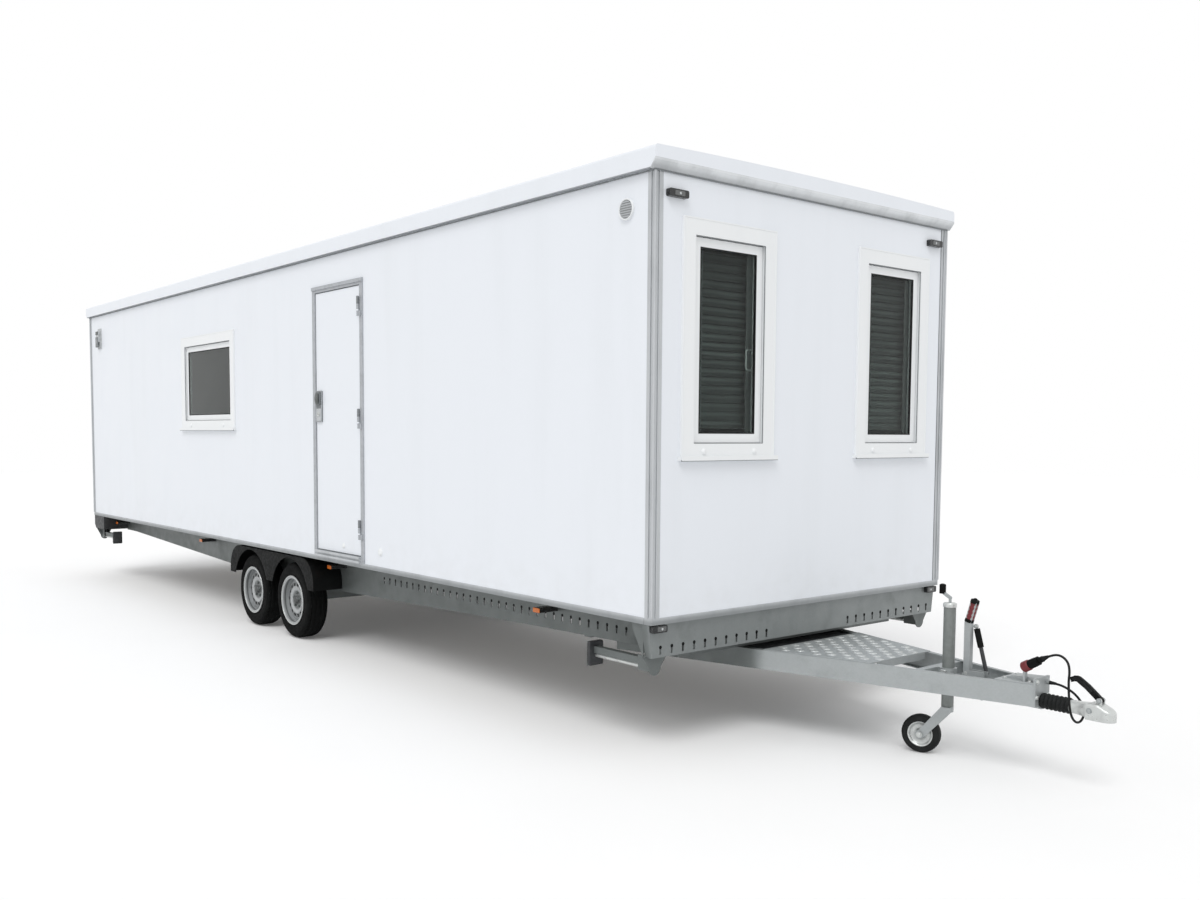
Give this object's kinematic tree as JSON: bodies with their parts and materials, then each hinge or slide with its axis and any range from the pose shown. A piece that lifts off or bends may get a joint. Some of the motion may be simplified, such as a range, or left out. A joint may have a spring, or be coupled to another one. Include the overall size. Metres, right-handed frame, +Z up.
{
  "type": "towable site cabin",
  "caption": "White box cabin on a tandem-axle road chassis: hinged side door, framed windows, V drawbar with overrun coupling, jockey wheel, handbrake and corner steadies.",
  "frame": {"origin": "on the ground, at the middle of the footprint of the whole cabin with its drawbar", "axes": "+X forward along the cabin to the coupling, +Z up, the door is in the wall on the -Y side"},
  "size_m": [11.055, 2.55, 3.03],
  "materials": {
    "wall_panel": "smooth white sandwich panel, lightly soiled",
    "roof_shell": "smooth white roof shell",
    "floor_board": "sealed plywood sandwich floor",
    "grey_trim": "plain mill aluminium profile",
    "door_white": "white coated door skin",
    "frame_white": "white window profile",
    "window_glass": "clear sealed pane",
    "blind_grey": "dark slat",
    "black_plastic": "black moulded plastic",
    "lamp_shell": "lamp with coloured lens",
    "marker_shell": "black lamp body with pale or amber lens",
    "zinc_steel": "hot-dip zinc, dull spangle",
    "dark_steel": "black painted steel",
    "bright_steel": "bright plated steel",
    "rubber_black": "black rubber",
    "tyre_rubber": "worn, dusty tyre rubber",
    "rim_steel": "silver painted steel wheel"
  },
  "bodies": {
    "cabin": {"floor": "floor_board", "front_wall": "wall_panel", "rear_wall": "wall_panel", "left_wall": "wall_panel", "right_wall_front": "wall_panel", "right_wall_rear": "wall_panel", "right_wall_header": "wall_panel", "roof": "roof_shell", "drip_rails": "grey_trim", "corner_posts": "grey_trim", "bottom_rails": "grey_trim", "front_window_frames": "frame_white", "front_window_glass": "window_glass", "side_window_frames": "frame_white", "side_window_glass": "window_glass", "front_blinds": "blind_grey", "door_frame": "grey_trim", "door_sill": "grey_trim", "vent_grille": "frame_white", "power_inlet": "black_plastic", "marker_lamps": "marker_shell", "chassis_beams": "zinc_steel", "front_crossmember": "zinc_steel", "rear_light_beam": "dark_steel", "tail_lamps": "lamp_shell", "cross_bearers": "zinc_steel", "drawbar_arms": "zinc_steel", "drawbar_step": "zinc_steel", "drawbar_bridge": "zinc_steel", "overrun_housing": "zinc_steel", "axles": "zinc_steel", "mudguards": "black_plastic", "steady_brackets": "zinc_steel", "lead": "rubber_black", "plug": "black_plastic", "bellows": "rubber_black"},
    "door": {"door_leaf": "door_white", "door_hinges": "door_white", "door_latch": "black_plastic"},
    "brake_lever": {"brake_lever": "zinc_steel"},
    "strut_cylinder": {"strut_cylinder": "dark_steel"},
    "strut_rod": {"strut_rod": "bright_steel"},
    "coupling": {"coupling_head": "bright_steel"},
    "coupling_handle": {"coupling_handle": "black_plastic"},
    "jockey_tube": {"jockey_tube": "zinc_steel", "jockey_crank": "zinc_steel"},
    "jockey_fork": {"jockey_fork": "zinc_steel"},
    "jockey_wheel": {"jockey_wheel": "rubber_black"},
    "wheel_front_right": {"tyre_front_right": "tyre_rubber", "rim_front_right": "rim_steel"},
    "wheel_front_left": {"tyre_front_left": "tyre_rubber", "rim_front_left": "rim_steel"},
    "wheel_rear_right": {"tyre_rear_right": "tyre_rubber", "rim_rear_right": "rim_steel"},
    "wheel_rear_left": {"tyre_rear_left": "tyre_rubber", "rim_rear_left": "rim_steel"},
    "steady_leg_front_right": {"steady_leg_front_right": "zinc_steel"},
    "steady_leg_front_left": {"steady_leg_front_left": "zinc_steel"},
    "steady_leg_rear_right": {"steady_leg_rear_right": "zinc_steel"},
    "steady_leg_rear_left": {"steady_leg_rear_left": "zinc_steel"}
  },
  "joints": [
    {"name": "door_hinge", "type": "hinge", "parent": "cabin", "child": "door", "pos_m": [0.8345, -1.258, 1.7], "axis": [0, 0, 1], "range_deg": [0, 165]},
    {"name": "wheel_spin_front_right", "type": "hinge", "parent": "cabin", "child": "wheel_front_right", "pos_m": [-0.3818, -1.1175, 0.3], "axis": [0, 1, 0], "continuous": true},
    {"name": "wheel_spin_front_left", "type": "hinge", "parent": "cabin", "child": "wheel_front_left", "pos_m": [-0.3818, 1.1175, 0.3], "axis": [0, 1, 0], "continuous": true},
    {"name": "wheel_spin_rear_right", "type": "hinge", "parent": "cabin", "child": "wheel_rear_right", "pos_m": [-1.1358, -1.1175, 0.3], "axis": [0, 1, 0], "continuous": true},
    {"name": "wheel_spin_rear_left", "type": "hinge", "parent": "cabin", "child": "wheel_rear_left", "pos_m": [-1.1358, 1.1175, 0.3], "axis": [0, 1, 0], "continuous": true},
    {"name": "jockey_lift", "type": "slide", "parent": "cabin", "child": "jockey_tube", "axis": [0, 0, 1], "range_m": [0, 0.12]},
    {"name": "jockey_swivel", "type": "hinge", "parent": "jockey_tube", "child": "jockey_fork", "pos_m": [4.6825, 0, 0.255], "axis": [0, 0, 1], "continuous": true},
    {"name": "jockey_wheel_spin", "type": "hinge", "parent": "jockey_fork", "child": "jockey_wheel", "pos_m": [4.56185, -0.03967, 0.098], "axis": [0.3123, -0.95, 0], "continuous": true},
    {"name": "brake_lever", "type": "hinge", "parent": "cabin", "child": "brake_lever", "pos_m": [4.7905, 0, 0.446], "axis": [0, 1, 0], "range_deg": [0, 62]},
    {"name": "strut_swing", "type": "hinge", "parent": "cabin", "child": "strut_cylinder", "pos_m": [4.8745, 0.031, 0.453], "axis": [0, 1, 0], "range_deg": [0, 75]},
    {"name": "strut_slide", "type": "slide", "parent": "strut_cylinder", "child": "strut_rod", "axis": [-0.2646, 0, 0.9644], "range_m": [-0.08, 0]},
    {"name": "overrun_slide", "type": "slide", "parent": "cabin", "child": "coupling", "axis": [-1, 0, 0], "range_m": [0, 0.09], "deforming": ["bellows"]},
    {"name": "coupling_handle", "type": "hinge", "parent": "coupling", "child": "coupling_handle", "pos_m": [5.4575, 0, 0.432], "axis": [0, 1, 0], "range_deg": [0, 40]},
    {"name": "steady_front_right", "type": "hinge", "parent": "cabin", "child": "steady_leg_front_right", "pos_m": [3.6875, -1.155, 0.47], "axis": [0, -1, 0], "range_deg": [0, 90]},
    {"name": "steady_front_left", "type": "hinge", "parent": "cabin", "child": "steady_leg_front_left", "pos_m": [3.6875, 1.155, 0.47], "axis": [0, -1, 0], "range_deg": [0, 90]},
    {"name": "steady_rear_right", "type": "hinge", "parent": "cabin", "child": "steady_leg_rear_right", "pos_m": [-5.3725, -1.155, 0.47], "axis": [0, 1, 0], "range_deg": [0, 90]},
    {"name": "steady_rear_left", "type": "hinge", "parent": "cabin", "child": "steady_leg_rear_left", "pos_m": [-5.3725, 1.155, 0.47], "axis": [0, 1, 0], "range_deg": [0, 90]}
  ],
  "couplings": [
    {"joint": "strut_swing", "follows": "brake_lever", "ratio": 1.179},
    {"joint": "strut_slide", "follows": "brake_lever", "m_per_rad": -0.0725}
  ]
}
